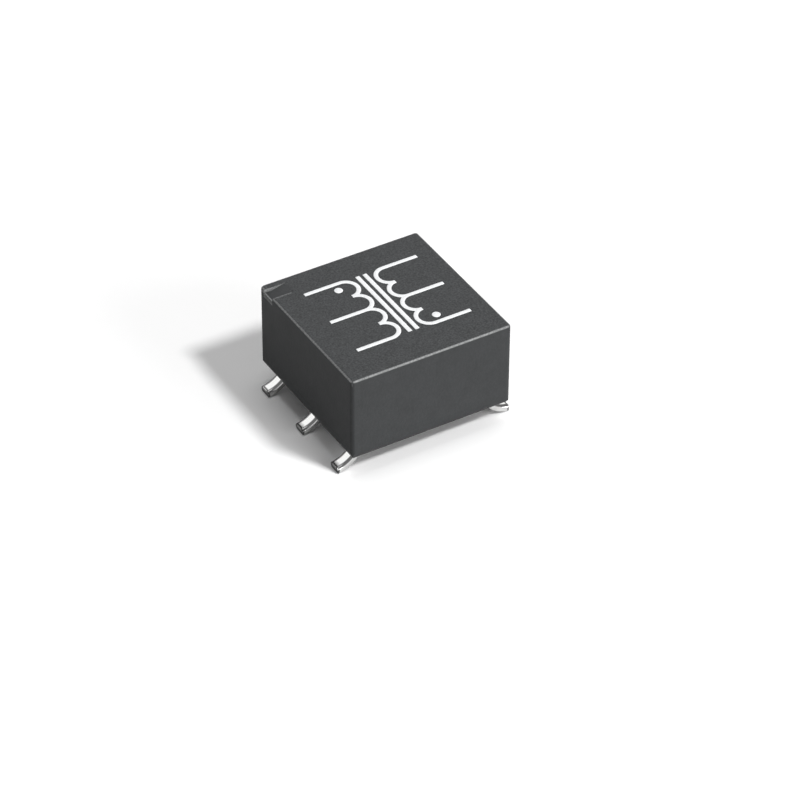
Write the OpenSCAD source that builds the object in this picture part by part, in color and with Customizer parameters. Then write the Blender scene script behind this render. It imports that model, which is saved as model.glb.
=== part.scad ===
// Surface-mount signal transformer: a toroid wound with two split windings on a
// header plate with six formed leads, closed by a moulded case. Millimetres.
// +Z is up, X runs across the two rows of leads, and the feet stand on z = 0.
// The part measures 7.2 over the tips of the leads, which are 2.54 apart.

/* [Case] */
// Width of the case across the lead rows
body_w = 6.6; // [6:0.05:8]
// Length of the case along the lead rows
body_l = 6.6; // [6:0.05:8]
// Height of the case
body_h = 3.66; // [3:0.02:5]
// Thickness of the side walls
wall = 0.46; // [0.3:0.01:0.6]
// Thickness of the top
top_wall = 0.5; // [0.3:0.05:0.6]
// Radius along the bottom edges of the case
bottom_r = 0.44; // [0.1:0.01:0.6]
// Radius along the top edges of the case
top_r = 0.1; // [0.04:0.01:0.2]
// Radius of the four upright edges
corner_r = 0.14; // [0.05:0.01:0.2]

/* [Pin-1 recess] */
// Depth of the recess at the side face, from where its floor rises to the top
recess_depth = 0.22; // [0.05:0.01:0.3]
// Width of the recess along the lead row
recess_w = 0.62; // [0.3:0.02:1]
// Length of the recess in from the side face
recess_l = 0.9; // [0.4:0.05:1.5]
// Rim left between the recess and the end face
recess_rim = 0.3; // [0.2:0.02:0.6]
// Rounding of the edges of the recess
recess_r = 0.1; // [0.05:0.01:0.15]

/* [Inside of the case] */
// Width of the ribs that the base seats against
rib_w = 0.3; // [0.2:0.05:0.5]
// How far the ribs stand in from the wall
rib_depth = 0.16; // [0.12:0.01:0.3]
// Headroom between the top of the wound core and the case
head_gap = 0.28; // [0.05:0.01:0.5]

/* [Base] */
// Thickness of the header plate
base_t = 0.6; // [0.4:0.05:0.7]
// Depth of the plate's underside above the rim of the case
base_inset = 0.1; // [0.06:0.01:0.2]
// Gap all round between the plate and the case
base_gap = 0.04; // [0.02:0.01:0.06]
// Gap under the ribs that stop the plate
fit_gap = 0.01; // [0.005:0.005:0.02]
// Thickness of the epoxy that seals the underside of the plate
seal_t = 0.08; // [0.03:0.01:0.1]
// Height of the raised seat for the core
seat_h = 0.2; // [0.1:0.05:0.3]
// How far the edge of the seat lies inside the rim of the core
seat_in = 0.25; // [0.1:0.05:0.4]

/* [Leads] */
// How far the tips stand out beyond the side of the case
tip_out = 0.3; // [0.2:0.05:1]
// Width of a lead
lead_w = 0.54; // [0.4:0.02:0.6]
// Thickness of a lead
lead_t = 0.3; // [0.2:0.01:0.32]
// Rounding of the long edges of a lead
lead_edge = 0.12; // [0.03:0.01:0.14]
// Distance from the feet to the rim of the case
standoff = 0.71; // [0.6:0.01:0.9]
// Gap between a leg and the side wall of the case
leg_gap = 0.14; // [0.05:0.01:0.2]
// Gap between an outer lead and the end wall of the case
end_gap = 0.03; // [0.02:0.01:0.2]
// Inner radius of the sweep from the leg to the foot
foot_bend = 1; // [0.5:0.02:1.2]
// Slope of the foot down to its tip, in degrees
foot_slope = 7; // [2:1:12]
// Depth to which the underside of a foot is pressed flat
foot_flat = 0.03; // [0.02:0.01:0.06]
// Inner radius of the bend at the top of the leg
tab_bend = 0.1; // [0.05:0.01:0.15]
// Gap between the inner end of a solder tab and the windings
tab_gap = 0.08; // [0.04:0.01:0.2]
// Gap round a lead where it passes the base and the seal
lead_gap = 0.03; // [0.01:0.01:0.05]

/* [Core] */
// Outside diameter of the toroid
core_od = 3.4; // [3:0.05:3.5]
// Inside diameter of the toroid
core_id = 1.75; // [1.6:0.05:2]
// Rounding of the edges of the toroid
core_edge = 0.12; // [0.05:0.01:0.2]
// Thickness of the adhesive pad under the wound core
adhesive_t = 0.1; // [0.05:0.01:0.15]

/* [Windings] */
// Diameter of the enamelled wire
wire_d = 0.1; // [0.08:0.01:0.1]
// Turns on each half of the primary
primary_turns = 5; // [2:1:6]
// Turns on each half of the secondary
secondary_turns = 6; // [2:1:6]
// Clearance round the wire, from the core and from the solder
wire_gap = 0.02; // [0.01:0.01:0.03]
// Half the distance between the two wires on a middle lead
pair_y = 0.08; // [0.07:0.01:0.09]
// Angle from the middle lead at which the turns start
wound_from = 7; // [4:1:10]
// Angle from the middle lead at which the turns end
wound_to = 62; // [56:1:80]

/* [Solder] */
// Radius of a solder joint on its tab
solder_r = 0.2; // [0.18:0.01:0.22]
// Height of a solder joint
solder_h = 0.2; // [0.17:0.01:0.22]

/* [Hidden] */

$fn = 48;
eps = 0.01;
wire_sides = 8;
corner_steps = 4;
tail_steps = 7;

// levels, from the feet up
base_z = standoff + base_inset;
tab_z = base_z + base_t;
wound_z = tab_z + seat_h + adhesive_t;
core_z = wound_z + wire_d + wire_gap;
ceiling_z = standoff + body_h - top_wall;
top_z = standoff + body_h;
core_h = ceiling_z - head_gap - wire_d - wire_gap - core_z;

// plan sizes of the case and of the plate in it
rim_r = min(bottom_r, wall - eps);
cavity_w = body_w - 2 * wall;
cavity_l = body_l - 2 * wall;
base_w = cavity_w - 2 * base_gap;
base_l = cavity_l - 2 * base_gap;
seat_r = core_od / 2 - seat_in;

// a lead from its inner end to its tip, and the distance between leads
tab_in = core_od / 2 + wire_gap + wire_d + tab_gap;
leg_x = cavity_w / 2 - leg_gap - lead_t / 2;
tab_mid_r = tab_bend + lead_t / 2;
edge_r = min(lead_edge, lead_t / 2 - eps);
tip_x = body_w / 2 + tip_out;
pitch = cavity_l / 2 - end_gap - lead_w / 2;
rib_place = pitch / 2;

// the sweep of a lead, limited by the way out to the tip and the height up to the tab
foot_reach = tip_x - leg_x - lead_t / 2 - eps;
foot_rise = tab_z - tab_bend + foot_flat - eps;
foot_r = min(foot_bend, foot_reach / (1 - sin(foot_slope)),
    foot_rise / cos(foot_slope) - lead_t);
foot_mid_r = foot_r + lead_t / 2;
foot_x = leg_x + foot_mid_r;
foot_z = (foot_r + lead_t) * cos(foot_slope) - foot_flat;
foot_run = (tip_x - foot_x + foot_r * sin(foot_slope)) / cos(foot_slope);

// where a solder joint lies on its tab, and how far the wires reach into it
solder_x = (tab_in + leg_x - tab_mid_r) / 2;
wire_end_x = solder_x + solder_r / 2;

// height of the wire's middle on a tab
wire_z = tab_z + lead_t + wire_d / 2 + wire_gap / 2;

// winding loop: a rounded rectangle round the core's section
wire_r = wire_d / 2;
loop_off = wire_r + wire_gap;
loop_r = core_edge + loop_off;
loop_in = core_id / 2 - loop_off;
loop_out = core_od / 2 + loop_off;
loop_low = core_z - loop_off;
loop_high = core_z + core_h + loop_off;

// the leads are numbered down one side and back up the other
function lead_side(n) = n <= 3 ? -1 : 1;
function lead_y(n) = (n <= 3 ? 2 - n : n - 5) * pitch;

// ---------- case ----------

// an upright block with rounded upright edges
module block(w, l, h, r) {
    linear_extrude(h) union() {
        square([w - 2 * r, l], center = true);
        square([w, l - 2 * r], center = true);
        for (x = [-1, 1], y = [-1, 1])
            translate([x * (w / 2 - r), y * (l / 2 - r)]) circle(r);
    }
}

// an upright block whose upright edges and top edges are rounded
module capped_block(w, l, h, r, cap_r) {
    for (size = [[w, l, 0], [l, w, 90]])
        rotate(size[2]) translate([0, size[1] / 2 - r, 0]) rotate([90, 0, 0])
            linear_extrude(size[1] - 2 * r) union() {
                translate([-size[0] / 2, 0]) square([size[0], h - cap_r]);
                translate([cap_r - size[0] / 2, 0]) square([size[0] - 2 * cap_r, h]);
                for (side = [-1, 1])
                    translate([side * (size[0] / 2 - cap_r), h - cap_r]) circle(cap_r);
            }
    for (x = [-1, 1], y = [-1, 1])
        translate([x * (w / 2 - r), y * (l / 2 - r), 0]) rotate_extrude() union() {
            square([r, h - cap_r]);
            square([r - cap_r, h]);
            translate([r - cap_r, h - cap_r]) intersection() {
                circle(cap_r);
                square(cap_r);
            }
        }
}

// what a radius takes off one long edge of a block; the edge runs along Y at x = 0,
// z = 0, with the block on the side of -X, below it for up = 1 and above for up = -1
module edge_waste(len, r, up) {
    translate([0, len / 2, 0]) rotate([90, 0, 0]) linear_extrude(len) difference() {
        translate([-r, up > 0 ? -r : -eps]) square(r + eps);
        translate([-r, -up * r]) circle(r);
    }
}

// the outside of the case: an upright block with its top and bottom edges rounded
module case_outside() {
    difference() {
        translate([0, 0, standoff])
            capped_block(body_w, body_l, body_h, corner_r, min(top_r, corner_r - eps));
        for (side = [0 : 3])
            rotate(90 * side)
                translate([(side % 2 == 0 ? body_w : body_l) / 2, 0, standoff])
                    edge_waste((side % 2 == 0 ? body_l : body_w) + 1, rim_r, -1);
    }
}

// the recess that marks lead 1: deepest at the side face, where it is open, its floor
// rises to run out at the top; the lip of the rim and the edge of the floor are rounded
module pin_recess() {
    lip_r = min(recess_r, recess_depth - eps);
    tall = 2 * recess_depth;
    translate([-body_w / 2, body_l / 2 - recess_rim, top_z - recess_depth]) {
        rotate([0, -atan(recess_depth / recess_l), 0])
            translate([-wall, 0, 0]) rotate([90, 0, 90]) linear_extrude(2 * recess_l)
                difference() {
                    translate([-recess_w, 0]) square([recess_w + lip_r, tall]);
                    translate([0, -eps]) square([lip_r + eps, recess_depth - lip_r + eps]);
                    translate([lip_r, recess_depth - lip_r]) circle(lip_r);
                }
        translate([0, -recess_w / 2, 0]) rotate(180) edge_waste(recess_w, lip_r, 1);
    }
}

// ribs down two facing walls, which stop the base at its height
module seat_ribs(span) {
    rib_h = ceiling_z - tab_z - fit_gap + eps;
    for (side = [-1, 1], place = [-rib_place, rib_place])
        translate([side * (span - rib_depth) / 2, place, tab_z + fit_gap + rib_h / 2])
            cube([rib_depth + 2 * eps, rib_w, rib_h], center = true);
}

module case() {
    color("#4a4c4e") {
        difference() {
            case_outside();
            translate([0, 0, standoff - 1])
                block(cavity_w, cavity_l, ceiling_z - standoff + 1, corner_r);
            pin_recess();
            for (n = [1 : 6]) foot_sweep(n, lead_gap);
        }
        seat_ribs(cavity_w);
        rotate(90) seat_ribs(cavity_l);
    }
}

// ---------- base and seal ----------

// a notch for each leg, open to the edge of the plate, with its upper edge rounded
// to let the lead bend over on to the plate
module lead_notches() {
    notch_in = leg_x - lead_t / 2 - lead_gap;
    notch_w = lead_w + 2 * lead_gap;
    for (n = [1 : 6])
        translate([0, lead_y(n), 0]) rotate(lead_side(n) > 0 ? 0 : 180) {
            translate([notch_in, -notch_w / 2, 0]) cube([body_w, notch_w, top_z]);
            translate([notch_in, 0, tab_z]) edge_waste(notch_w, tab_bend, 1);
        }
}

module base() {
    color("#2c2d2f") {
        difference() {
            translate([0, 0, base_z]) block(base_w, base_l, base_t, corner_r);
            lead_notches();
        }
        translate([0, 0, tab_z - eps]) cylinder(r = seat_r, h = seat_h + eps);
    }
}

// the epoxy reaches the case and lies close round the leads
module seal() {
    color("#1d1e20") difference() {
        translate([0, 0, base_z - seal_t])
            block(cavity_w - 2 * fit_gap, cavity_l - 2 * fit_gap, seal_t, corner_r);
        for (n = [1 : 6]) foot_sweep(n, lead_gap);
    }
}

// ---------- leads ----------

// cross-section of the strip: thickness along x, width along y, edges rounded, and
// grown on all sides where it makes room for the strip
module strip_section(grow = 0) {
    t = lead_t + 2 * grow;
    w = lead_w + 2 * grow;
    r = edge_r + grow;
    square([t - 2 * r, w], center = true);
    square([t, w - 2 * r], center = true);
    for (x = [-1, 1], y = [-1, 1])
        translate([x * (t / 2 - r), y * (w / 2 - r)]) circle(r);
}

// a turn of strip about an axis along Y through the origin, from a start angle
module strip_bend(r, start, turn, grow = 0) {
    rotate([90, 0, 0]) rotate(start) rotate_extrude(angle = turn)
        translate([r, 0]) strip_section(grow);
}

module strip_along_x(len) {
    rotate([0, 90, 0]) linear_extrude(len) strip_section();
}

// turns what is drawn for a lead on +X to the place of lead n
module at_lead(n) {
    translate([0, lead_y(n), 0]) rotate(lead_side(n) > 0 ? 0 : 180) children();
}

// the sweep from the leg outward to the foot
module foot_sweep(n, grow = 0) {
    at_lead(n) translate([foot_x, 0, foot_z])
        strip_bend(foot_mid_r, 180, 90 - foot_slope, grow);
}

// one formed strip: foot, wide sweep, leg through the base, and tab on top of it
module lead(n) {
    leg_high = tab_z + lead_t / 2 - tab_mid_r;
    color("#c9cbcc") difference() {
        union() {
            at_lead(n) {
                translate([foot_x - foot_mid_r * sin(foot_slope), 0,
                        foot_z - foot_mid_r * cos(foot_slope)])
                    rotate([0, foot_slope, 0]) strip_along_x(foot_run);
                translate([leg_x, 0, foot_z])
                    linear_extrude(leg_high - foot_z) strip_section();
                translate([leg_x - tab_mid_r, 0, leg_high])
                    strip_bend(tab_mid_r, 0, 90);
                translate([tab_in, 0, tab_z + lead_t / 2])
                    strip_along_x(leg_x - tab_mid_r - tab_in);
            }
            foot_sweep(n);
        }
        translate([0, 0, -body_w]) cube(2 * body_w, center = true);
    }
}

// ---------- core ----------

module core() {
    mid = (core_od + core_id) / 4;
    ring = (core_od - core_id) / 2;
    color("#3a3532") translate([0, 0, core_z]) rotate_extrude() union() {
        translate([mid - ring / 2 + core_edge, 0]) square([ring - 2 * core_edge, core_h]);
        translate([mid - ring / 2, core_edge]) square([ring, core_h - 2 * core_edge]);
        for (x = [mid - ring / 2 + core_edge, mid + ring / 2 - core_edge],
             z = [core_edge, core_h - core_edge])
            translate([x, z]) circle(core_edge);
    }
}

module adhesive() {
    color("#d8c27a") translate([0, 0, tab_z + seat_h]) cylinder(r = seat_r, h = adhesive_t);
}

// ---------- windings ----------
// Each winding is one wire. It leaves its first lead, climbs the outside of the core,
// makes its turns and comes out under the core to its second lead. The paths below are
// for the half of the coil over leads 1, 2 and 3; the other half is turned by 180.

function unit(v) = v / norm(v);
function mix(a, b, s) = a + (b - a) * s;
function bezier(p, s) =
    pow(1 - s, 3) * p[0] + 3 * s * pow(1 - s, 2) * p[1]
    + 3 * s * s * (1 - s) * p[2] + pow(s, 3) * p[3];
function radial(phi) = [cos(phi), sin(phi), 0];
function along(phi) = [-sin(phi), cos(phi), 0];

// point i of the turns at angle phi: corners 0 to 3 of the loop, from the outer bottom
// one round over the top to the inner bottom one, each with corner_steps points
function turn_point(i, phi) =
    let (corner = floor(i / corner_steps) % 4,
         a = -90 + 90 * corner + 90 * (i % corner_steps) / (corner_steps - 1),
         r_mid = corner < 2 ? loop_out - loop_r : loop_in + loop_r,
         z_mid = corner == 0 || corner == 3 ? loop_low + loop_r : loop_high - loop_r)
    (r_mid + loop_r * cos(a)) * radial(phi) + [0, 0, z_mid + loop_r * sin(a)];

// stations of a whole wire, each with its point and a direction to hang its section on
function wire_stations(turns, phi_a, phi_b, y_a, y_b) =
    let (first = corner_steps - 1,
         last = 4 * corner_steps * turns,
         end_a = [-wire_end_x, y_a, wire_z],
         end_b = [-wire_end_x, y_b, wire_z],
         off_a = [-tab_in, y_a, wire_z],
         off_b = [-tab_in, y_b, wire_z],
         on_a = turn_point(first, phi_a),
         on_b = turn_point(last, phi_b),
         pull_a = 0.4 * norm(on_a - off_a),
         pull_b = 0.4 * norm(on_b - off_b),
         rise = [off_a, off_a + [pull_a, 0, 0], on_a - [0, 0, pull_a], on_a],
         fall = [on_b, on_b + pull_b * radial(phi_b), off_b + [pull_b, 0, 0], off_b])
    concat(
        [[end_a, along(180)]],
        [for (k = [0 : tail_steps - 1]) let (s = k / tail_steps)
            [bezier(rise, s), mix(along(180), along(phi_a), s)]],
        [for (i = [first : last])
            let (phi = mix(phi_a, phi_b, (i - first) / (last - first)))
            [turn_point(i, phi), along(phi)]],
        [for (k = [1 : tail_steps]) let (s = k / tail_steps)
            [bezier(fall, s), mix(along(phi_b), along(180), s)]],
        [[end_b, along(180)]]);

// sweep of a round section along the stations
module swept_wire(stations) {
    n = len(stations);
    rings = [for (i = [0 : n - 1])
        let (before = stations[max(i - 1, 0)][0],
             after = stations[min(i + 1, n - 1)][0],
             t = unit(after - before),
             side = unit(stations[i][1] - (stations[i][1] * t) * t),
             up = cross(t, side))
        for (k = [0 : wire_sides - 1])
            stations[i][0] + wire_r * (cos(360 * k / wire_sides) * side
                + sin(360 * k / wire_sides) * up)];
    skin = [for (i = [0 : n - 2], k = [0 : wire_sides - 1])
        let (a = i * wire_sides + k,
             b = i * wire_sides + (k + 1) % wire_sides)
        each [[a, a + wire_sides, b], [b, a + wire_sides, b + wire_sides]]];
    ends = [[for (k = [0 : wire_sides - 1]) k],
        [for (k = [wire_sides - 1 : -1 : 0]) (n - 1) * wire_sides + k]];
    polyhedron(rings, concat(skin, ends));
}

// half 0 runs from the first lead to the middle one, half 1 from there to the third
module winding(turns, half) {
    if (half == 0)
        swept_wire(wire_stations(turns, 180 - wound_to, 180 - wound_from, pitch, pair_y));
    else
        swept_wire(wire_stations(turns, 180 + wound_from, 180 + wound_to, -pair_y, -pitch));
}

module primary_a() { color("#b5622c") winding(primary_turns, 0); }
module primary_b() { color("#b5622c") winding(primary_turns, 1); }
module secondary_a() { color("#8c3b22") rotate(180) winding(secondary_turns, 0); }
module secondary_b() { color("#8c3b22") rotate(180) winding(secondary_turns, 1); }

// ---------- solder ----------

// a dome of solder on the tab, with the wires' ends in it
module solder(n) {
    dome_r = (solder_r * solder_r + solder_h * solder_h) / (2 * solder_h);
    slot_r = wire_r + wire_gap / 2;
    wires = n % 3 == 2 ? [-pair_y, pair_y] : [0];
    color("#b9bbbd") translate([0, lead_y(n), tab_z + lead_t])
        rotate(lead_side(n) > 0 ? 0 : 180) difference() {
            translate([solder_x, 0, solder_h - dome_r]) intersection() {
                sphere(dome_r);
                translate([-dome_r, -dome_r, dome_r - solder_h]) cube(2 * dome_r);
            }
            for (y = wires) translate([wire_end_x + eps, y, wire_z - tab_z - lead_t]) {
                rotate([0, -90, 0]) cylinder(r = slot_r, h = wire_end_x);
                translate([-wire_end_x, -slot_r, -lead_t])
                    cube([wire_end_x, 2 * slot_r, lead_t]);
            }
        }
}

module lead_1() { lead(1); }
module lead_2() { lead(2); }
module lead_3() { lead(3); }
module lead_4() { lead(4); }
module lead_5() { lead(5); }
module lead_6() { lead(6); }
module solder_1() { solder(1); }
module solder_2() { solder(2); }
module solder_3() { solder(3); }
module solder_4() { solder(4); }
module solder_5() { solder(5); }
module solder_6() { solder(6); }

case();
base();
seal();
core();
adhesive();
primary_a();
primary_b();
secondary_a();
secondary_b();
lead_1();
lead_2();
lead_3();
lead_4();
lead_5();
lead_6();
solder_1();
solder_2();
solder_3();
solder_4();
solder_5();
solder_6();
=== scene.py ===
import math

import bpy
from mathutils import Matrix, Vector


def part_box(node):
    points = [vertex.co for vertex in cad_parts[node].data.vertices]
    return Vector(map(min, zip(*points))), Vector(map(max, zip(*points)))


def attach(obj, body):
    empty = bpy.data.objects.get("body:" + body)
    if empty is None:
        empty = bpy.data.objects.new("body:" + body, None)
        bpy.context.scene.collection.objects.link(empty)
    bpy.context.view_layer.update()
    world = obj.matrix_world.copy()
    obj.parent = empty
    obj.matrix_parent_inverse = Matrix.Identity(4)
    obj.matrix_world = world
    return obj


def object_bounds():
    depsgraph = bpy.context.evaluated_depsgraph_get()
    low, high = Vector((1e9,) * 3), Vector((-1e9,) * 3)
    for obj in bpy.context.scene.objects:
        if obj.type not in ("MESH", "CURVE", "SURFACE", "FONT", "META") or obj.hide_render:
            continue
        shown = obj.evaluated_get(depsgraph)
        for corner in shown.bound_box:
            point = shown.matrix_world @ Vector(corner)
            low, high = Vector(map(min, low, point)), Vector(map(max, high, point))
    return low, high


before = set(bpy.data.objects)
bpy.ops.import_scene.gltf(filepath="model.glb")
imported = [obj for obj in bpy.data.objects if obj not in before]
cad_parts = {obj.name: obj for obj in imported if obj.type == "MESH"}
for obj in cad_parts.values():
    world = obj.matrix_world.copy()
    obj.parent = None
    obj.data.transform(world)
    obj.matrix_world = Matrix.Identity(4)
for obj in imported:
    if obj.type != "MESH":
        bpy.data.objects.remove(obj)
cad_low, cad_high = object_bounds()
MM = 0.001


# ---------------------------------------------------------------- header plate
# The header plate is a small moulding of black thermoplastic. It closes the case
# from below, its notches hold the six leads, and the core stands on its round seat.

def link(tree, out, into):
    tree.links.new(out, into)


def new_node(tree, kind, place=(0, 0), **settings):
    node = tree.nodes.new(kind)
    node.location = place
    for name, value in settings.items():
        setattr(node, name, value)
    return node


def object_noise(tree, coords, size, detail, place):
    """Noise on object coordinates, whose blotches are about size millimetres wide."""
    noise = new_node(tree, "ShaderNodeTexNoise", place, noise_dimensions="3D")
    noise.inputs["Scale"].default_value = 1.0 / (size * MM)
    noise.inputs["Detail"].default_value = detail
    noise.inputs["Roughness"].default_value = 0.6
    link(tree, coords, noise.inputs["Vector"])
    return noise.outputs["Fac"]


def make_grain_group():
    """Moulded grain: fine filler specks over slow mottling, from one object position."""
    group = bpy.data.node_groups.new("moulded_grain", "ShaderNodeTree")
    sockets = group.interface
    sockets.new_socket(name="Position", in_out="INPUT", socket_type="NodeSocketVector")
    sockets.new_socket(name="Dark", in_out="INPUT", socket_type="NodeSocketColor")
    sockets.new_socket(name="Light", in_out="INPUT", socket_type="NodeSocketColor")
    sockets.new_socket(name="Rough low", in_out="INPUT", socket_type="NodeSocketFloat")
    sockets.new_socket(name="Rough high", in_out="INPUT", socket_type="NodeSocketFloat")
    sockets.new_socket(name="Color", in_out="OUTPUT", socket_type="NodeSocketColor")
    sockets.new_socket(name="Roughness", in_out="OUTPUT", socket_type="NodeSocketFloat")
    sockets.new_socket(name="Height", in_out="OUTPUT", socket_type="NodeSocketFloat")
    given = new_node(group, "NodeGroupInput", (-900, 0))
    made = new_node(group, "NodeGroupOutput", (700, 0))
    position = given.outputs["Position"]
    mottle = object_noise(group, position, 0.5, 3.0, (-600, 200))
    specks = object_noise(group, position, 0.11, 4.0, (-600, -100))
    blend = new_node(group, "ShaderNodeMix", (-300, 100), data_type="FLOAT")
    blend.inputs["Factor"].default_value = 0.55
    link(group, mottle, blend.inputs["A"])
    link(group, specks, blend.inputs["B"])
    spread = new_node(group, "ShaderNodeMapRange", (-100, 100))
    spread.inputs["From Min"].default_value = 0.36
    spread.inputs["From Max"].default_value = 0.64
    link(group, blend.outputs["Result"], spread.inputs["Value"])
    colour = new_node(group, "ShaderNodeMix", (200, 200), data_type="RGBA")
    link(group, spread.outputs["Result"], colour.inputs["Factor"])
    link(group, given.outputs["Dark"], colour.inputs["A"])
    link(group, given.outputs["Light"], colour.inputs["B"])
    rough = new_node(group, "ShaderNodeMix", (200, -50), data_type="FLOAT")
    link(group, specks, rough.inputs["Factor"])
    link(group, given.outputs["Rough low"], rough.inputs["A"])
    link(group, given.outputs["Rough high"], rough.inputs["B"])
    link(group, colour.outputs["Result"], made.inputs["Color"])
    link(group, rough.outputs["Result"], made.inputs["Roughness"])
    link(group, specks, made.inputs["Height"])
    return group


grain_group = make_grain_group()


def moulded_material(name, dark, light, rough_low, rough_high, bump, specular):
    """A moulded or cured surface with the grain above."""
    material = bpy.data.materials.new(name)
    material.use_nodes = True
    tree = material.node_tree
    tree.nodes.clear()
    output = new_node(tree, "ShaderNodeOutputMaterial", (700, 0))
    shader = new_node(tree, "ShaderNodeBsdfPrincipled", (400, 0))
    shader.inputs["Specular IOR Level"].default_value = specular
    coords = new_node(tree, "ShaderNodeTexCoord", (-500, 0))
    grain = new_node(tree, "ShaderNodeGroup", (-200, 0), node_tree=grain_group)
    grain.inputs["Dark"].default_value = (*dark, 1)
    grain.inputs["Light"].default_value = (*light, 1)
    grain.inputs["Rough low"].default_value = rough_low
    grain.inputs["Rough high"].default_value = rough_high
    relief = new_node(tree, "ShaderNodeBump", (100, -250))
    relief.inputs["Strength"].default_value = 0.6
    relief.inputs["Distance"].default_value = bump * MM
    link(tree, coords.outputs["Object"], grain.inputs["Position"])
    link(tree, grain.outputs["Color"], shader.inputs["Base Color"])
    link(tree, grain.outputs["Roughness"], shader.inputs["Roughness"])
    link(tree, grain.outputs["Height"], relief.inputs["Height"])
    link(tree, relief.outputs["Normal"], shader.inputs["Normal"])
    link(tree, shader.outputs["BSDF"], output.inputs["Surface"])
    return material


def dress(node, material):
    """Gives a CAD node its material."""
    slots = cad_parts[node].data.materials
    slots.clear()
    slots.append(material)


dress("base", moulded_material("header_plastic", (0.012, 0.012, 0.013),
                               (0.02, 0.02, 0.022), 0.42, 0.6, 0.004, 0.4))


# ---------------------------------------------------------------- leads
# Six strips of copper alloy, stamped, plated with bright tin and formed: a tab on the
# plate, a leg down through its notch, and a foot swept outward to meet the board.
# A dark band along the edges and across the tip is a painted reflection of dark
# surroundings.

lead_low, lead_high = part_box("lead_5")
LEAD_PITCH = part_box("lead_6")[0].y - lead_low.y
half_strip = (lead_high.y - lead_low.y) / 2
tip_x = lead_high.x
# Each band: where it begins, is full, starts to fade and has faded.
EDGE_BAND = (half_strip - 0.16 * MM, half_strip - 0.11 * MM,
             half_strip - 0.03 * MM, half_strip - 0.005 * MM)
TIP_BAND = (tip_x - 0.1 * MM, tip_x - 0.05 * MM, tip_x - 0.02 * MM, tip_x - 0.005 * MM)


def make_tin():
    """Bright tin, cloudy and faintly streaked, with a painted dark reflection at the edges
    and tip.
    """
    material = bpy.data.materials.new("bright_tin")
    material.use_nodes = True
    tree = material.node_tree
    tree.nodes.clear()
    output = new_node(tree, "ShaderNodeOutputMaterial", (900, 0))
    shader = new_node(tree, "ShaderNodeBsdfPrincipled", (600, 0))
    shader.inputs["Metallic"].default_value = 1.0
    coords = new_node(tree, "ShaderNodeTexCoord", (-900, 0))
    stretch = new_node(tree, "ShaderNodeMapping", (-700, -200))
    stretch.inputs["Scale"].default_value = (0.25, 1.0, 0.25)
    link(tree, coords.outputs["Object"], stretch.inputs["Vector"])
    cloud = object_noise(tree, coords.outputs["Object"], 0.3, 2.0, (-500, 200))
    drawn = object_noise(tree, stretch.outputs["Vector"], 0.035, 2.0, (-500, -200))
    tint = new_node(tree, "ShaderNodeMix", (0, 250), data_type="RGBA")
    tint.inputs["A"].default_value = (0.9, 0.9, 0.89, 1)
    tint.inputs["B"].default_value = (0.97, 0.97, 0.96, 1)
    link(tree, cloud, tint.inputs["Factor"])
    place = new_node(tree, "ShaderNodeSeparateXYZ", (-700, 600))
    across = new_node(tree, "ShaderNodeMath", (-500, 600), operation="WRAP")
    across.inputs[1].default_value = LEAD_PITCH / 2
    across.inputs[2].default_value = -LEAD_PITCH / 2
    link(tree, coords.outputs["Object"], place.inputs["Vector"])
    link(tree, place.outputs["Y"], across.inputs[0])
    thin = None
    for k, (value, spans) in enumerate((
            (across.outputs["Value"], EDGE_BAND), (place.outputs["X"], TIP_BAND))):
        away = new_node(tree, "ShaderNodeMath", (-300, 600 + 300 * k), operation="ABSOLUTE")
        begins = new_node(tree, "ShaderNodeMapRange", (-100, 600 + 300 * k),
                          interpolation_type="SMOOTHSTEP")
        begins.inputs["From Min"].default_value = spans[0]
        begins.inputs["From Max"].default_value = spans[1]
        ends = new_node(tree, "ShaderNodeMapRange", (-100, 750 + 300 * k))
        ends.inputs["From Min"].default_value = spans[2]
        ends.inputs["From Max"].default_value = spans[3]
        ends.inputs["To Min"].default_value = 1.0
        ends.inputs["To Max"].default_value = 0.0
        both = new_node(tree, "ShaderNodeMath", (100, 600 + 300 * k), operation="MULTIPLY")
        link(tree, value, away.inputs[0])
        link(tree, away.outputs["Value"], begins.inputs["Value"])
        link(tree, away.outputs["Value"], ends.inputs["Value"])
        link(tree, begins.outputs["Result"], both.inputs[0])
        link(tree, ends.outputs["Result"], both.inputs[1])
        if thin is None:
            thin = both
        else:
            most = new_node(tree, "ShaderNodeMath", (300, 700), operation="MAXIMUM")
            link(tree, thin.outputs["Value"], most.inputs[0])
            link(tree, both.outputs["Value"], most.inputs[1])
            thin = most
    # Painted reflection: the edge and tip bands are tinted near black, for the dark
    # surroundings mirrored in the edges' rounding.
    painted_dark_edges = new_node(tree, "ShaderNodeMix", (300, 300), data_type="RGBA")
    painted_dark_edges.inputs["B"].default_value = (0.13, 0.13, 0.13, 1)
    link(tree, thin.outputs["Value"], painted_dark_edges.inputs["Factor"])
    link(tree, tint.outputs["Result"], painted_dark_edges.inputs["A"])
    rough = new_node(tree, "ShaderNodeMapRange", (0, 0))
    rough.inputs["From Min"].default_value = 0.3
    rough.inputs["From Max"].default_value = 0.7
    rough.inputs["To Min"].default_value = 0.12
    rough.inputs["To Max"].default_value = 0.22
    link(tree, cloud, rough.inputs["Value"])
    relief = new_node(tree, "ShaderNodeBump", (300, -250))
    relief.inputs["Strength"].default_value = 0.35
    relief.inputs["Distance"].default_value = 0.004 * MM
    link(tree, drawn, relief.inputs["Height"])
    link(tree, painted_dark_edges.outputs["Result"], shader.inputs["Base Color"])
    link(tree, rough.outputs["Result"], shader.inputs["Roughness"])
    link(tree, relief.outputs["Normal"], shader.inputs["Normal"])
    link(tree, shader.outputs["BSDF"], output.inputs["Surface"])
    return material


bright_tin = make_tin()
for number in range(1, 7):
    dress(f"lead_{number}", bright_tin)


# ---------------------------------------------------------------- sealing epoxy
# A thin layer of black epoxy, run in under the plate and cured. It closes the gap
# between the plate, the leads and the rim of the case.

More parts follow.
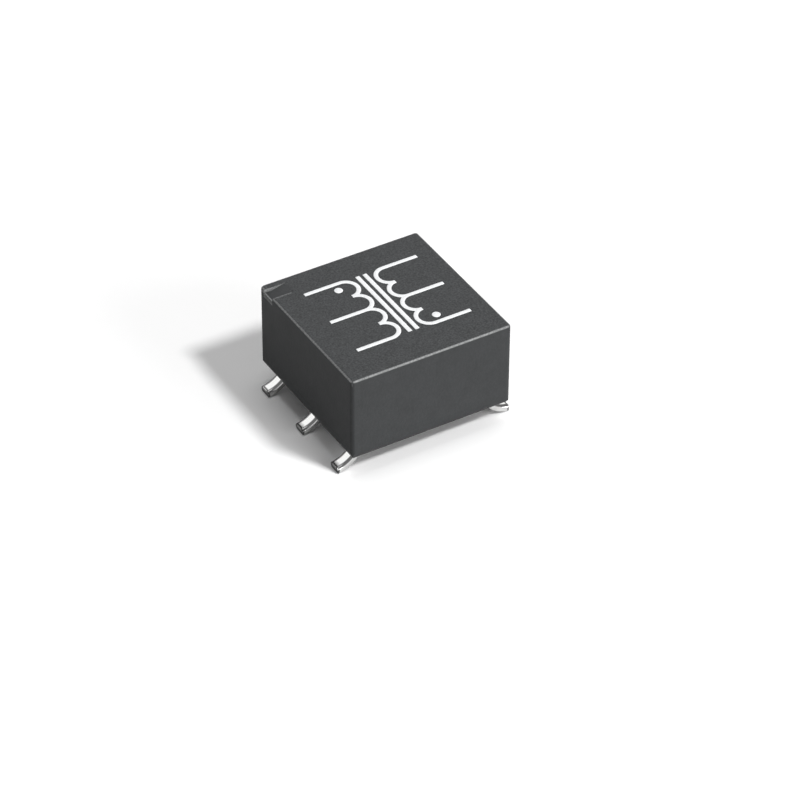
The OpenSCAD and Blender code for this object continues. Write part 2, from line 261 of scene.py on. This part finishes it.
dress("seal", moulded_material("cured_epoxy", (0.008, 0.008, 0.009),
                               (0.014, 0.014, 0.016), 0.2, 0.34, 0.003, 0.5))


# ---------------------------------------------------------------- core
# A pressed and sintered ferrite ring, tumbled so that the wire meets no sharp edge.
# It lies on the round seat of the plate and carries the four windings.

dress("core", moulded_material("sintered_ferrite", (0.018, 0.016, 0.015),
                               (0.05, 0.045, 0.042), 0.4, 0.6, 0.01, 0.5))


# ---------------------------------------------------------------- adhesive
# A pad of amber adhesive that fixes the wound core to the seat of the plate.
# It is put on soft and cures in place.

dress("adhesive", moulded_material("amber_adhesive", (0.42, 0.27, 0.08),
                                   (0.62, 0.44, 0.16), 0.18, 0.3, 0.004, 0.5))


# ---------------------------------------------------------------- windings
# Fine copper wire in enamel: clear on the two primary halves, red on the secondary.
# Each half is wound through the ring as one wire, down to the tabs of its leads.

def enamelled_copper(name, dull, bright):
    """Copper under a glossy enamel, between a dull and a bright tone."""
    material = bpy.data.materials.new(name)
    material.use_nodes = True
    tree = material.node_tree
    tree.nodes.clear()
    output = new_node(tree, "ShaderNodeOutputMaterial", (700, 0))
    shader = new_node(tree, "ShaderNodeBsdfPrincipled", (400, 0))
    shader.inputs["Metallic"].default_value = 0.85
    shader.inputs["Coat Roughness"].default_value = 0.12
    shader.inputs["Coat Weight"].default_value = 0.7
    coords = new_node(tree, "ShaderNodeTexCoord", (-500, 0))
    patches = object_noise(tree, coords.outputs["Object"], 0.2, 2.0, (-300, 0))
    colour = new_node(tree, "ShaderNodeMix", (0, 150), data_type="RGBA")
    colour.inputs["A"].default_value = (*dull, 1)
    colour.inputs["B"].default_value = (*bright, 1)
    rough = new_node(tree, "ShaderNodeMapRange", (0, -100))
    rough.inputs["To Min"].default_value = 0.22
    rough.inputs["To Max"].default_value = 0.36
    link(tree, patches, colour.inputs["Factor"])
    link(tree, patches, rough.inputs["Value"])
    link(tree, colour.outputs["Result"], shader.inputs["Base Color"])
    link(tree, rough.outputs["Result"], shader.inputs["Roughness"])
    link(tree, shader.outputs["BSDF"], output.inputs["Surface"])
    return material


clear_enamel = enamelled_copper("clear_enamel_wire", (0.5, 0.2, 0.08), (0.78, 0.36, 0.17))
red_enamel = enamelled_copper("red_enamel_wire", (0.28, 0.05, 0.03), (0.46, 0.1, 0.05))
for half in ("a", "b"):
    dress(f"primary_{half}", clear_enamel)
    dress(f"secondary_{half}", red_enamel)


# ---------------------------------------------------------------- solder joints
# A small dome of tin solder on each tab, with the wires' ends in it.
# It is melted on and sets with a faint frost.

def make_solder():
    """Solder, between bright and frosted."""
    material = bpy.data.materials.new("solder_alloy")
    material.use_nodes = True
    tree = material.node_tree
    tree.nodes.clear()
    output = new_node(tree, "ShaderNodeOutputMaterial", (700, 0))
    shader = new_node(tree, "ShaderNodeBsdfPrincipled", (400, 0))
    shader.inputs["Metallic"].default_value = 1.0
    coords = new_node(tree, "ShaderNodeTexCoord", (-500, 0))
    frost = object_noise(tree, coords.outputs["Object"], 0.06, 3.0, (-300, 0))
    colour = new_node(tree, "ShaderNodeMix", (0, 150), data_type="RGBA")
    colour.inputs["A"].default_value = (0.55, 0.55, 0.55, 1)
    colour.inputs["B"].default_value = (0.8, 0.8, 0.79, 1)
    rough = new_node(tree, "ShaderNodeMapRange", (0, -100))
    rough.inputs["To Min"].default_value = 0.2
    rough.inputs["To Max"].default_value = 0.45
    link(tree, frost, colour.inputs["Factor"])
    link(tree, frost, rough.inputs["Value"])
    link(tree, colour.outputs["Result"], shader.inputs["Base Color"])
    link(tree, rough.outputs["Result"], shader.inputs["Roughness"])
    link(tree, shader.outputs["BSDF"], output.inputs["Surface"])
    return material


solder_alloy = make_solder()
for number in range(1, 7):
    dress(f"solder_{number}", solder_alloy)


# ---------------------------------------------------------------- case
# The case is a cup moulded in dark grey mineral-filled epoxy compound, open below.
# It is matte and finely specked on the top. Its upper edges and the lips of its recess are
# painted lighter, a painted highlight with a little real rubbing. A recess marks the corner
# of lead 1.

case_low, case_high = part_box("case")


def make_edge_group():
    """Mask of the rounded edges of a block: 1 along their middle, 0 on its flat faces."""
    group = bpy.data.node_groups.new("block_edges", "ShaderNodeTree")
    sockets = group.interface
    for name in ("Position", "Centre", "Half size"):
        sockets.new_socket(name=name, in_out="INPUT", socket_type="NodeSocketVector")
    sockets.new_socket(name="Width", in_out="INPUT", socket_type="NodeSocketFloat")
    sockets.new_socket(name="Edges", in_out="OUTPUT", socket_type="NodeSocketFloat")
    given = new_node(group, "NodeGroupInput", (-1100, 0))
    made = new_node(group, "NodeGroupOutput", (700, 0))
    offset = new_node(group, "ShaderNodeVectorMath", (-900, 0), operation="SUBTRACT")
    size = new_node(group, "ShaderNodeVectorMath", (-700, 0), operation="ABSOLUTE")
    depth = new_node(group, "ShaderNodeVectorMath", (-500, 0), operation="SUBTRACT")
    parts = new_node(group, "ShaderNodeSeparateXYZ", (-300, 0))
    link(group, given.outputs["Position"], offset.inputs[0])
    link(group, given.outputs["Centre"], offset.inputs[1])
    link(group, offset.outputs["Vector"], size.inputs[0])
    link(group, given.outputs["Half size"], depth.inputs[0])
    link(group, size.outputs["Vector"], depth.inputs[1])
    link(group, depth.outputs["Vector"], parts.inputs["Vector"])
    near = {}
    for k, axis in enumerate("XYZ"):
        near[axis] = new_node(group, "ShaderNodeMapRange", (-100, -200 * k))
        near[axis].inputs["To Min"].default_value = 1.0
        near[axis].inputs["To Max"].default_value = 0.0
        link(group, parts.outputs[axis], near[axis].inputs["Value"])
        link(group, given.outputs["Width"], near[axis].inputs["From Max"])
    pairs = []
    for k, (one, other) in enumerate(("XY", "YZ", "XZ")):
        pair = new_node(group, "ShaderNodeMath", (100, -200 * k), operation="MULTIPLY")
        link(group, near[one].outputs["Result"], pair.inputs[0])
        link(group, near[other].outputs["Result"], pair.inputs[1])
        pairs.append(pair.outputs["Value"])
    first = new_node(group, "ShaderNodeMath", (300, 0), operation="MAXIMUM")
    most = new_node(group, "ShaderNodeMath", (400, 0), operation="MAXIMUM")
    doubled = new_node(group, "ShaderNodeMath", (500, 0), operation="MULTIPLY",
                       use_clamp=True)
    doubled.inputs[1].default_value = 2.0
    link(group, pairs[0], first.inputs[0])
    link(group, pairs[1], first.inputs[1])
    link(group, first.outputs["Value"], most.inputs[0])
    link(group, pairs[2], most.inputs[1])
    link(group, most.outputs["Value"], doubled.inputs[0])
    link(group, doubled.outputs["Value"], made.inputs["Edges"])
    return group


CORNER = Vector((case_low.x, case_high.y, case_high.z))


def by_corner(x, y, z):
    """A point given in millimetres from the top of the corner with the recess."""
    return CORNER + Vector((x, y, z)) * MM


# Each part of the recess that gets the painted highlight: the low and high corner of its
# box, and how much.
BACK_LIP = (by_corner(-0.02, -0.32, -0.16), by_corner(0.98, -0.18, -0.002), 1.0)
FLOOR_EDGE = (by_corner(-0.02, -0.92, -0.33), by_corner(0.1, -0.26, -0.16), 0.9)
NEAR_LIP = (by_corner(0.02, -1.0, -0.02), by_corner(0.8, -0.9, 0.02), 0.35)
PATCH_FADE = 0.02 * MM
EDGE_WIDTH = 0.1 * MM
SPECK_SIZE = 0.065
RIM_BEGINS = case_high.z - 0.25 * MM
RIM_FULL = case_high.z - 0.12 * MM
TOP_BEGINS = case_high.z - 0.04 * MM
TOP_FULL = case_high.z - 0.01 * MM


def make_box_group():
    """A mask that is 1 within a box and fades to 0 at its sides."""
    group = bpy.data.node_groups.new("inside_box", "ShaderNodeTree")
    sockets = group.interface
    for name in ("Position", "Centre", "Half size"):
        sockets.new_socket(name=name, in_out="INPUT", socket_type="NodeSocketVector")
    sockets.new_socket(name="Width", in_out="INPUT", socket_type="NodeSocketFloat")
    sockets.new_socket(name="Inside", in_out="OUTPUT", socket_type="NodeSocketFloat")
    given = new_node(group, "NodeGroupInput", (-900, 0))
    made = new_node(group, "NodeGroupOutput", (700, 0))
    offset = new_node(group, "ShaderNodeVectorMath", (-700, 0), operation="SUBTRACT")
    size = new_node(group, "ShaderNodeVectorMath", (-500, 0), operation="ABSOLUTE")
    depth = new_node(group, "ShaderNodeVectorMath", (-300, 0), operation="SUBTRACT")
    parts = new_node(group, "ShaderNodeSeparateXYZ", (-100, 0))
    first = new_node(group, "ShaderNodeMath", (100, 0), operation="MINIMUM")
    least = new_node(group, "ShaderNodeMath", (300, 0), operation="MINIMUM")
    fade = new_node(group, "ShaderNodeMapRange", (500, 0))
    link(group, given.outputs["Position"], offset.inputs[0])
    link(group, given.outputs["Centre"], offset.inputs[1])
    link(group, offset.outputs["Vector"], size.inputs[0])
    link(group, given.outputs["Half size"], depth.inputs[0])
    link(group, size.outputs["Vector"], depth.inputs[1])
    link(group, depth.outputs["Vector"], parts.inputs["Vector"])
    link(group, parts.outputs["X"], first.inputs[0])
    link(group, parts.outputs["Y"], first.inputs[1])
    link(group, first.outputs["Value"], least.inputs[0])
    link(group, parts.outputs["Z"], least.inputs[1])
    link(group, least.outputs["Value"], fade.inputs["Value"])
    link(group, given.outputs["Width"], fade.inputs["From Max"])
    link(group, fade.outputs["Result"], made.inputs["Inside"])
    return group


def make_compound():
    """Grained compound: specked on the top, smooth on the sides, polished at its edges, with
    a painted highlight on its upper edges.
    """
    material = moulded_material("moulding_compound", (0.047, 0.049, 0.05),
                                (0.056, 0.058, 0.06), 0.42, 0.54, 0.01, 0.12)
    tree = material.node_tree
    shader = tree.nodes["Principled BSDF"]
    grain = tree.nodes["Group"]
    position = tree.nodes["Texture Coordinate"].outputs["Object"]
    edges = new_node(tree, "ShaderNodeGroup", (-200, -300), node_tree=make_edge_group())
    edges.inputs["Centre"].default_value = (case_low + case_high) / 2
    edges.inputs["Half size"].default_value = (case_high - case_low) / 2
    edges.inputs["Width"].default_value = EDGE_WIDTH
    link(tree, position, edges.inputs["Position"])
    specks = object_noise(tree, position, SPECK_SIZE, 3.0, (-500, 300))
    broken = new_node(tree, "ShaderNodeMapRange", (-300, 500))
    broken.inputs["From Min"].default_value = 0.4
    broken.inputs["From Max"].default_value = 0.6
    broken.inputs["To Min"].default_value = 0.55
    link(tree, specks, broken.inputs["Value"])
    height = new_node(tree, "ShaderNodeSeparateXYZ", (-500, 600))
    upper = new_node(tree, "ShaderNodeMapRange", (-300, 1100))
    upper.inputs["From Min"].default_value = RIM_BEGINS
    upper.inputs["From Max"].default_value = RIM_FULL
    link(tree, height.outputs["Z"], upper.inputs["Value"])
    rim = new_node(tree, "ShaderNodeMath", (-100, 1100), operation="MULTIPLY")
    crest = new_node(tree, "ShaderNodeMapRange", (-100, 1300))
    crest.inputs["From Min"].default_value = 0.5
    link(tree, edges.outputs["Edges"], crest.inputs["Value"])
    link(tree, crest.outputs["Result"], rim.inputs[0])
    link(tree, upper.outputs["Result"], rim.inputs[1])
    highlight_places = rim.outputs["Value"]
    box_group = make_box_group()
    for k, (low, high, share) in enumerate((BACK_LIP, FLOOR_EDGE, NEAR_LIP)):
        patch = new_node(tree, "ShaderNodeGroup", (-200, -500 - 200 * k),
                         node_tree=box_group)
        patch.inputs["Centre"].default_value = (low + high) / 2
        patch.inputs["Half size"].default_value = (high - low) / 2
        patch.inputs["Width"].default_value = PATCH_FADE
        link(tree, position, patch.inputs["Position"])
        part = new_node(tree, "ShaderNodeMath", (-50, -600 - 200 * k), operation="MULTIPLY")
        part.inputs[1].default_value = share
        either = new_node(tree, "ShaderNodeMath", (100, -500 - 200 * k), operation="MAXIMUM")
        link(tree, patch.outputs["Inside"], part.inputs[0])
        link(tree, highlight_places, either.inputs[0])
        link(tree, part.outputs["Value"], either.inputs[1])
        highlight_places = either.outputs["Value"]
    highlight_mask = new_node(tree, "ShaderNodeMath", (0, 400), operation="MULTIPLY")
    link(tree, highlight_places, highlight_mask.inputs[0])
    link(tree, broken.outputs["Result"], highlight_mask.inputs[1])
    on_top = new_node(tree, "ShaderNodeMapRange", (-300, 700))
    on_top.inputs["From Min"].default_value = TOP_BEGINS
    on_top.inputs["From Max"].default_value = TOP_FULL
    link(tree, position, height.inputs["Vector"])
    link(tree, height.outputs["Z"], on_top.inputs["Value"])
    dust = new_node(tree, "ShaderNodeMapRange", (-300, 900))
    dust.inputs["From Min"].default_value = 0.3
    dust.inputs["From Max"].default_value = 0.7
    dust.inputs["To Min"].default_value = 0.6
    dust.inputs["To Max"].default_value = 1.4
    link(tree, specks, dust.inputs["Value"])
    strength = new_node(tree, "ShaderNodeMix", (-100, 800), data_type="FLOAT")
    strength.inputs["A"].default_value = 1.0
    link(tree, on_top.outputs["Result"], strength.inputs["Factor"])
    link(tree, dust.outputs["Result"], strength.inputs["B"])
    specked = new_node(tree, "ShaderNodeMix", (100, 600), data_type="RGBA",
                       blend_type="MULTIPLY")
    specked.inputs["Factor"].default_value = 1.0
    link(tree, grain.outputs["Color"], specked.inputs["A"])
    link(tree, strength.outputs["Result"], specked.inputs["B"])
    # Painted highlight: light grey on the upper edges and recess lips stands in for the
    # lamp's gleam on their rounding, with a little real rubbing.
    painted_edge_highlight = new_node(tree, "ShaderNodeMix", (250, 400), data_type="RGBA")
    painted_edge_highlight.inputs["B"].default_value = (0.27, 0.275, 0.275, 1)
    link(tree, highlight_mask.outputs["Value"], painted_edge_highlight.inputs["Factor"])
    link(tree, specked.outputs["Result"], painted_edge_highlight.inputs["A"])
    link(tree, painted_edge_highlight.outputs["Result"], shader.inputs["Base Color"])
    polish = new_node(tree, "ShaderNodeMix", (250, 150), data_type="FLOAT")
    polish.inputs["B"].default_value = 0.28
    link(tree, edges.outputs["Edges"], polish.inputs["Factor"])
    link(tree, grain.outputs["Roughness"], polish.inputs["A"])
    link(tree, polish.outputs["Result"], shader.inputs["Roughness"])
    return material


dress("case", make_compound())


# ---------------------------------------------------------------- winding diagram
# The top is printed in white ink with a plain diagram of the windings: two coils with
# centre taps, the lines of the core between them, and a dot at the start of each coil.

STROKE = 0.17
INK_HEIGHT = 0.012
COIL_R = 0.47
COIL_X = 0.9
BUMPS = 4
LINE_END = 2.35
CORE_LINE_X = 0.15
DOT_R = 0.16
DOT_IN = 0.25
DOT_DROP = 0.38
DIAGRAM_X = 0.15
DIAGRAM_Y = 0.1
INK_RISE = 0.1
GRID = 0.02


def deselect():
    """Leaves nothing selected."""
    bpy.ops.object.select_all(action="DESELECT")


def stroke(x0, y0, x1, y1):
    """A straight stroke, drawn as a round bar in millimetres."""
    deselect()
    run = Vector((x1 - x0, y1 - y0, 0))
    bpy.ops.mesh.primitive_cylinder_add(
        vertices=16, radius=STROKE / 2, depth=run.length,
        location=((x0 + x1) / 2, (y0 + y1) / 2, 0),
        rotation=(math.pi / 2, 0, run.to_track_quat("X", "Z").to_euler().z + math.pi / 2))
    return bpy.context.active_object


def dot(x, y, radius):
    """A dot, drawn as a ball in millimetres."""
    deselect()
    bpy.ops.mesh.primitive_uv_sphere_add(segments=32, ring_count=16, radius=radius,
                                         location=(x, y, 0))
    return bpy.context.active_object


def bump(x, y, side):
    """Half a ring that bulges towards the core."""
    deselect()
    bpy.ops.mesh.primitive_torus_add(major_radius=COIL_R, minor_radius=STROKE / 2,
                                     major_segments=64, minor_segments=16,
                                     location=(0, 0, 0))
    ring = bpy.context.active_object
    bpy.ops.object.mode_set(mode="EDIT")
    bpy.ops.mesh.select_all(action="SELECT")
    bpy.ops.mesh.bisect(plane_co=(0, 0, 0), plane_no=(side, 0, 0), use_fill=True,
                        clear_inner=True)
    bpy.ops.object.mode_set(mode="OBJECT")
    ring.location = (x, y, 0)
    return ring


bars = []
half_h = COIL_R * BUMPS
for side in (-1, 1):
    coil_x = side * COIL_X
    for k in range(BUMPS):
        bars.append(bump(coil_x, half_h - COIL_R * (2 * k + 1), -side))
    for y in (-half_h, 0, half_h):
        bars.append(stroke(coil_x, y, side * LINE_END, y))
    bars.append(stroke(side * CORE_LINE_X, -half_h, side * CORE_LINE_X, half_h))
    bars.append(dot(side * (COIL_X + DOT_IN), -side * (half_h - DOT_DROP), DOT_R))
deselect()
for bar in bars:
    bar.select_set(True)
bpy.context.view_layer.objects.active = bars[0]
bpy.ops.object.join()
diagram = bpy.context.active_object
diagram.name = "winding_diagram"
diagram.data.name = "winding_diagram"
bpy.ops.object.transform_apply(location=True, rotation=True, scale=True)
diagram.data.remesh_voxel_size = GRID
bpy.ops.object.voxel_remesh()
bpy.ops.object.shade_smooth()
top_middle = (case_low + case_high) / 2
diagram.data.transform(
    Matrix.Translation((top_middle.x + DIAGRAM_X * MM, top_middle.y + DIAGRAM_Y * MM,
                        case_high.z + INK_RISE * INK_HEIGHT * MM))
    @ Matrix.Diagonal((MM, MM, MM * INK_HEIGHT / (STROKE / 2), 1)))
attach(diagram, "root")


def make_ink():
    """Matte white ink that covers a little unevenly."""
    material = bpy.data.materials.new("white_ink")
    material.use_nodes = True
    tree = material.node_tree
    tree.nodes.clear()
    output = new_node(tree, "ShaderNodeOutputMaterial", (700, 0))
    shader = new_node(tree, "ShaderNodeBsdfPrincipled", (400, 0))
    shader.inputs["Specular IOR Level"].default_value = 0.3
    coords = new_node(tree, "ShaderNodeTexCoord", (-500, 0))
    cover = object_noise(tree, coords.outputs["Object"], 0.05, 3.0, (-300, 0))
    colour = new_node(tree, "ShaderNodeMix", (0, 150), data_type="RGBA")
    colour.inputs["A"].default_value = (0.7, 0.71, 0.72, 1)
    colour.inputs["B"].default_value = (0.84, 0.85, 0.86, 1)
    thick = new_node(tree, "ShaderNodeMapRange", (-100, 150))
    thick.inputs["From Min"].default_value = 0.3
    thick.inputs["From Max"].default_value = 0.5
    link(tree, cover, thick.inputs["Value"])
    link(tree, thick.outputs["Result"], colour.inputs["Factor"])
    rough = new_node(tree, "ShaderNodeMapRange", (0, -100))
    rough.inputs["To Min"].default_value = 0.5
    rough.inputs["To Max"].default_value = 0.7
    link(tree, cover, rough.inputs["Value"])
    link(tree, colour.outputs["Result"], shader.inputs["Base Color"])
    link(tree, rough.outputs["Result"], shader.inputs["Roughness"])
    link(tree, shader.outputs["BSDF"], output.inputs["Surface"])
    return material


diagram.data.materials.clear()
diagram.data.materials.append(make_ink())


# ---------------------------------------------------------------- floor
# A flat white sheet of matte paper, which keeps the part's shadow. The light that it
# throws back on the part is dimmer than it looks to the camera.

FLOOR_HALF = 400 * MM
deselect()
bpy.ops.mesh.primitive_plane_add(size=2 * FLOOR_HALF, location=(0, 0, cad_low.z))
floor = bpy.context.active_object
floor.name = "floor"
white = bpy.data.materials.new("white_floor")
white.use_nodes = True
tree = white.node_tree
tree.nodes.clear()
output = new_node(tree, "ShaderNodeOutputMaterial", (600, 0))
paper = new_node(tree, "ShaderNodeBsdfDiffuse", (300, 0))
seen = new_node(tree, "ShaderNodeLightPath", (-500, 0))
direct = new_node(tree, "ShaderNodeMath", (-100, 0), operation="MAXIMUM")
shade = new_node(tree, "ShaderNodeMix", (100, 0), data_type="RGBA")
shade.inputs["A"].default_value = (0.45, 0.45, 0.45, 1)
shade.inputs["B"].default_value = (0.65, 0.65, 0.65, 1)
plain = new_node(tree, "ShaderNodeMix", (200, 200), data_type="RGBA")
plain.inputs["B"].default_value = (1, 1, 1, 1)
link(tree, seen.outputs["Is Camera Ray"], direct.inputs[0])
link(tree, seen.outputs["Is Transmission Ray"], direct.inputs[1])
link(tree, seen.outputs["Is Glossy Ray"], shade.inputs["Factor"])
link(tree, shade.outputs["Result"], plain.inputs["A"])
link(tree, direct.outputs["Value"], plain.inputs["Factor"])
link(tree, plain.outputs["Result"], paper.inputs["Color"])
link(tree, paper.outputs["BSDF"], output.inputs["Surface"])
floor.data.materials.append(white)


# ---------------------------------------------------------------- light
# A soft lamp at the front right, broad ones low in front and above, and a dim surround,
# brighter overhead, that fills the shadows. Seen directly the surround is plain white,
# and mirrored in the tin it is a little brighter.

HORIZON = 0.1
ZENITH = 0.28
MIRRORED = 1.25
world = bpy.data.worlds.new("surround")
bpy.context.scene.world = world
world.use_nodes = True
tree = world.node_tree
tree.nodes.clear()
output = new_node(tree, "ShaderNodeOutputWorld", (600, 0))
sky = new_node(tree, "ShaderNodeBackground", (300, 0))
seen = new_node(tree, "ShaderNodeLightPath", (-700, 0))
direct = new_node(tree, "ShaderNodeMath", (-300, 0), operation="MAXIMUM")
heading = new_node(tree, "ShaderNodeTexCoord", (-700, -300))
parts = new_node(tree, "ShaderNodeSeparateXYZ", (-500, -300))
rise = new_node(tree, "ShaderNodeMapRange", (-300, -300))
rise.inputs["To Min"].default_value = HORIZON
rise.inputs["To Max"].default_value = ZENITH
level = new_node(tree, "ShaderNodeMix", (-100, -300), data_type="FLOAT")
level.inputs["B"].default_value = 1.0
strength = new_node(tree, "ShaderNodeMix", (100, 0), data_type="FLOAT")
strength.inputs["B"].default_value = MIRRORED
link(tree, seen.outputs["Is Camera Ray"], direct.inputs[0])
link(tree, seen.outputs["Is Transmission Ray"], direct.inputs[1])
link(tree, heading.outputs["Generated"], parts.inputs["Vector"])
link(tree, parts.outputs["Z"], rise.inputs["Value"])
link(tree, direct.outputs["Value"], level.inputs["Factor"])
link(tree, rise.outputs["Result"], level.inputs["A"])
link(tree, seen.outputs["Is Glossy Ray"], strength.inputs["Factor"])
link(tree, level.outputs["Result"], strength.inputs["A"])
link(tree, strength.outputs["Result"], sky.inputs["Strength"])
link(tree, sky.outputs["Background"], output.inputs["Surface"])

part_middle = (cad_low + cad_high) / 2


def soft_lamp(name, heading, distance, size, power):
    """A round lamp that faces the part from a heading; lengths in millimetres."""
    data = bpy.data.lights.new(name, "AREA")
    data.shape = "DISK"
    data.size = size * MM
    data.energy = power
    lamp = bpy.data.objects.new(name, data)
    bpy.context.scene.collection.objects.link(lamp)
    away = Vector(heading).normalized()
    lamp.location = part_middle + away * distance * MM
    lamp.rotation_euler = away.to_track_quat("Z", "Y").to_euler()


soft_lamp("key_lamp", heading=(0.28, -0.54, 0.8), distance=600, size=90, power=2.35)
soft_lamp("front_lamp", heading=(0.45, -0.85, 0.25), distance=300, size=200, power=0.62)
soft_lamp("top_lamp", heading=(0.05, 0.1, 1.0), distance=400, size=200, power=0.48)


# ---------------------------------------------------------------- camera
# A long lens from the front left, which keeps the edges of the case near parallel.
# It looks down on the top, with the part a little above the middle of the view.

AZIMUTH = math.radians(-30.62)
ELEVATION = math.radians(37.78)
ROLL = math.radians(0.13)
SENSOR = 36.0
LENS = 174.195
DISTANCE = 140.2 * MM
AIM_RIGHT = 0.5505 * MM
AIM_DOWN = 1.539 * MM
AIM_HEIGHT = 2.0 * MM
target = Vector((0, 0, AIM_HEIGHT))
back = Vector((math.sin(AZIMUTH) * math.cos(ELEVATION),
               -math.cos(AZIMUTH) * math.cos(ELEVATION), math.sin(ELEVATION)))
right = Vector((math.cos(AZIMUTH), math.sin(AZIMUTH), 0))
up = back.cross(right)
eye = target + back * DISTANCE
aim = target + right * AIM_RIGHT - up * AIM_DOWN
look = (eye - aim).normalized()
side_axis = (right - look * right.dot(look)).normalized()
side_axis = Matrix.Rotation(ROLL, 3, look) @ side_axis
camera_data = bpy.data.cameras.new("camera")
camera_data.sensor_width = SENSOR
camera_data.lens = LENS
camera_data.clip_start = 1 * MM
camera_data.clip_end = 10
camera = bpy.data.objects.new("camera", camera_data)
bpy.context.scene.collection.objects.link(camera)
axes = Matrix((side_axis, look.cross(side_axis), look)).transposed()
camera.matrix_world = Matrix.Translation(eye) @ axes.to_4x4()
bpy.context.scene.camera = camera
bpy.context.scene.view_settings.view_transform = "Standard"
